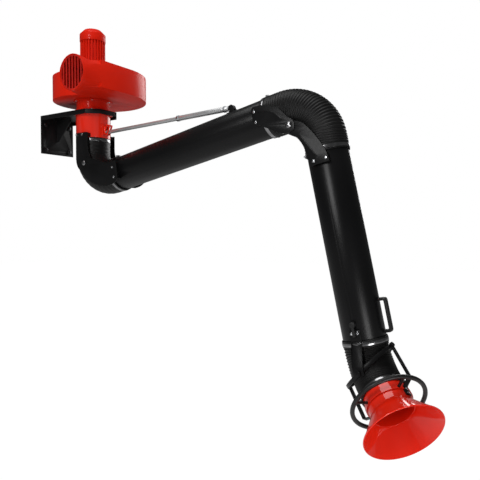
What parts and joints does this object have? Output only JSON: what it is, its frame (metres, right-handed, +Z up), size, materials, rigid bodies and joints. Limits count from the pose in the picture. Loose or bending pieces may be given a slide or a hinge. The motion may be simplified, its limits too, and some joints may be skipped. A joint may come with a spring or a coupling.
{
  "type": "fume extraction arm",
  "caption": "Wall mounted fume extraction arm: bracket, centrifugal fan, swivel collar, two hinged duct tubes with flexible hoses, gas spring and a tilting bell mouth hood.",
  "frame": {"origin": "middle of the wall plate's back face", "axes": "+X out from the wall along the arm, +Z up, +Y by the right-hand rule"},
  "size_m": [2.0399, 0.5358, 1.7748],
  "materials": {
    "black_plate": "satin black coated steel plate",
    "black_tube": "satin black coated thin tube",
    "red_paint": "gloss red coated sheet metal",
    "black_rubber": "matt black coated fabric hose",
    "zinc_steel": "bright zinc plated steel",
    "wheel_alloy": "bare light alloy sheet",
    "spring_silver": "silver grey coated tube",
    "pale_plastic": "low friction white plastic",
    "black_plastic": "moulded black plastic"
  },
  "bodies": {
    "base": {"wall_bracket": "black_plate", "wall_bolt_1": "zinc_steel", "wall_bolt_2": "zinc_steel", "wall_bolt_3": "zinc_steel", "wall_bolt_4": "zinc_steel", "fan_neck": "red_paint", "scroll_housing": "red_paint", "outlet_grille": "red_paint", "motor_body": "red_paint", "motor_cowl": "red_paint", "terminal_box": "red_paint", "slide_ring": "pale_plastic", "swivel_clip_1": "black_plate", "swivel_clip_2": "black_plate", "swivel_clip_3": "black_plate"},
    "rotor": {"motor_shaft": "zinc_steel", "impeller": "wheel_alloy", "cooling_fan": "black_plastic"},
    "collar": {"swivel_collar": "red_paint", "shoulder_clamp_top": "zinc_steel", "shoulder_strap_near": "black_plate", "shoulder_strap_far": "black_plate", "spring_clevis": "black_plate", "shoulder_hose": "black_rubber"},
    "upper_arm": {"upper_tube": "black_tube", "shoulder_cheek_near": "black_plate", "shoulder_cheek_far": "black_plate", "shoulder_bolt_near": "zinc_steel", "shoulder_bolt_far": "zinc_steel", "shoulder_clamp_low": "zinc_steel", "spring_lug": "black_plate", "elbow_arm_upper_near": "black_plate", "elbow_arm_upper_far": "black_plate", "elbow_bolt_near": "zinc_steel", "elbow_bolt_far": "zinc_steel", "elbow_clamp_upper": "zinc_steel", "elbow_hose": "black_rubber"},
    "spring_outer": {"spring_sleeve": "spring_silver"},
    "spring_inner": {"spring_cylinder": "spring_silver"},
    "lower_arm": {"lower_tube": "black_tube", "elbow_arm_lower_near": "black_plate", "elbow_arm_lower_far": "black_plate", "elbow_clamp_lower": "zinc_steel", "arm_handle": "black_plastic", "hood_fork_near": "black_plate", "hood_fork_far": "black_plate", "hood_clamp_upper": "zinc_steel", "hood_hose_upper": "black_rubber"},
    "damper": {"damper_plate": "zinc_steel", "damper_knob": "black_plastic"},
    "gimbal": {"gimbal_ring": "black_plate"},
    "hood_group": {"hood": "red_paint", "hood_bracket_inner": "black_plate", "hood_bracket_outer": "black_plate", "ring_handle": "black_plastic", "hood_clamp_lower": "zinc_steel", "hood_hose_lower": "black_rubber"}
  },
  "joints": [
    {"name": "swivel", "type": "hinge", "parent": "base", "child": "collar", "pos_m": [0.285, 0, 0], "axis": [0, 0, 1], "range_deg": [-90, 90]},
    {"name": "shoulder", "type": "hinge", "parent": "collar", "child": "upper_arm", "pos_m": [0.323, 0, -0.167], "axis": [0, -1, 0], "range_deg": [-30, 25], "deforming": ["shoulder_hose"]},
    {"name": "elbow", "type": "hinge", "parent": "upper_arm", "child": "lower_arm", "pos_m": [1.46069, 0, -0.09355], "axis": [0, -1, 0], "range_deg": [-50, 60], "deforming": ["elbow_hose"]},
    {"name": "hood_tilt", "type": "hinge", "parent": "lower_arm", "child": "gimbal", "pos_m": [1.7527, 0, -0.99015], "axis": [0, -1, 0], "range_deg": [-60, 2], "deforming": ["hood_hose_upper", "hood_hose_lower"]},
    {"name": "hood_roll", "type": "hinge", "parent": "gimbal", "child": "hood_group", "pos_m": [1.7527, 0, -0.99015], "axis": [0.6639, 0, 0.7478], "range_deg": [-3, 68], "deforming": ["hood_hose_upper", "hood_hose_lower"]},
    {"name": "damper_turn", "type": "hinge", "parent": "lower_arm", "child": "damper", "pos_m": [1.71727, 0, -0.82696], "axis": [0, -1, 0], "range_deg": [0, 90]},
    {"name": "impeller_spin", "type": "hinge", "parent": "base", "child": "rotor", "pos_m": [0.285, 0, 0.2], "axis": [0, 0, 1], "continuous": true},
    {"name": "spring_tilt", "type": "hinge", "parent": "upper_arm", "child": "spring_outer", "pos_m": [1.14, 0, 0.024], "axis": [0, -1, 0], "range_deg": [-2.8, 2.4]},
    {"name": "spring_slide", "type": "slide", "parent": "spring_outer", "child": "spring_inner", "axis": [-0.999, 0, -0.0439], "range_m": [-0.0746, 0.0894]}
  ],
  "couplings": [
    {"joint": "spring_tilt", "follows": "shoulder", "ratio": 0.09119},
    {"joint": "spring_slide", "follows": "shoulder", "m_per_rad": -0.17029}
  ]
}
